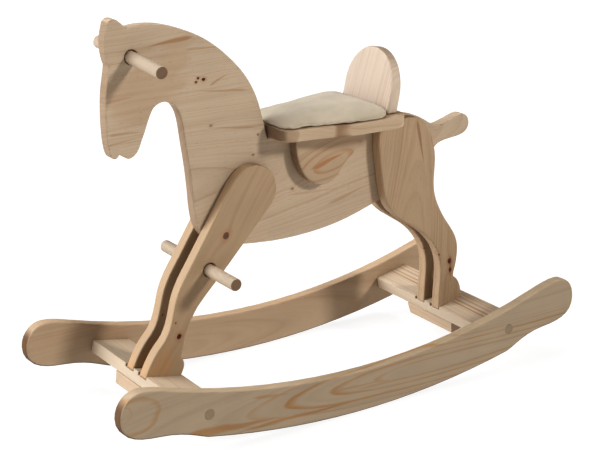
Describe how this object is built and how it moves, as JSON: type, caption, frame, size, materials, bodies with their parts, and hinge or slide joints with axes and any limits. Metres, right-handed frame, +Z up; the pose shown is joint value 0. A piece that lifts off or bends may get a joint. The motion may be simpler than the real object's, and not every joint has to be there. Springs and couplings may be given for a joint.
{
  "type": "rocking horse",
  "caption": "Child's rocking horse cut from flat pine boards, on two curved rockers, with a padded seat, low arched backrest, dowel handle and dowel foot rest.",
  "frame": {"origin": "on the floor, at the centre of the object's box in plan, midway between the two rockers", "axes": "+X forward, to the horse's nose; +Y to the horse's left; +Z up"},
  "size_m": [0.85, 0.33, 0.621],
  "materials": {
    "rocker_pine": "planed pine, clear oiled",
    "plank_pine": "planed pine, clear oiled",
    "panel_pine": "planed pine, clear oiled",
    "leg_pine": "planed pine, clear oiled, warmer board",
    "seat_pine": "planed pine, clear oiled, paler board",
    "pad_base_plywood": "raw plywood",
    "dowel_wood": "turned dowel, clear oiled, darker end grain",
    "pin_beech": "fluted beech pin",
    "plug_wood": "pine plug, sanded flush",
    "cushion_cotton": "khaki beige cotton canvas",
    "screw_steel": "zinc plated"
  },
  "bodies": {
    "root": {"rocker_left": "rocker_pine", "rocker_right": "rocker_pine", "plank_screw_front_left": "screw_steel", "foot_screw_front_left": "screw_steel", "rocker_plug_front_left": "plug_wood", "plank_screw_front_right": "screw_steel", "foot_screw_front_right": "screw_steel", "rocker_plug_front_right": "plug_wood", "front_cross_plank": "plank_pine", "front_batten": "plank_pine", "plank_screw_rear_left": "screw_steel", "foot_screw_rear_left": "screw_steel", "rocker_plug_rear_left": "plug_wood", "plank_screw_rear_right": "screw_steel", "foot_screw_rear_right": "screw_steel", "rocker_plug_rear_right": "plug_wood", "rear_cross_plank": "plank_pine", "rear_batten": "plank_pine", "horse_body": "panel_pine", "front_leg_left": "leg_pine", "front_leg_right": "leg_pine", "hind_leg_left": "leg_pine", "hind_leg_right": "leg_pine", "seat_bracket_left": "leg_pine", "seat_bracket_right": "leg_pine", "seat_board": "seat_pine", "backrest": "seat_pine", "seat_pad_base": "pad_base_plywood", "seat_cushion": "cushion_cotton", "handle_dowel": "dowel_wood", "footrest_dowel": "dowel_wood", "front_leg_pin_upper": "pin_beech", "front_leg_pin_lower": "pin_beech", "hind_leg_pin_upper": "pin_beech", "hind_leg_pin_middle": "pin_beech", "hind_leg_pin_lower": "pin_beech", "bracket_pin_front": "pin_beech", "bracket_pin_rear": "pin_beech", "seat_screw_front": "screw_steel", "seat_screw_rear": "screw_steel", "bracket_screw_left": "screw_steel", "bracket_screw_right": "screw_steel", "backrest_screw_left": "screw_steel", "backrest_screw_right": "screw_steel"}
  },
  "joints": []
}
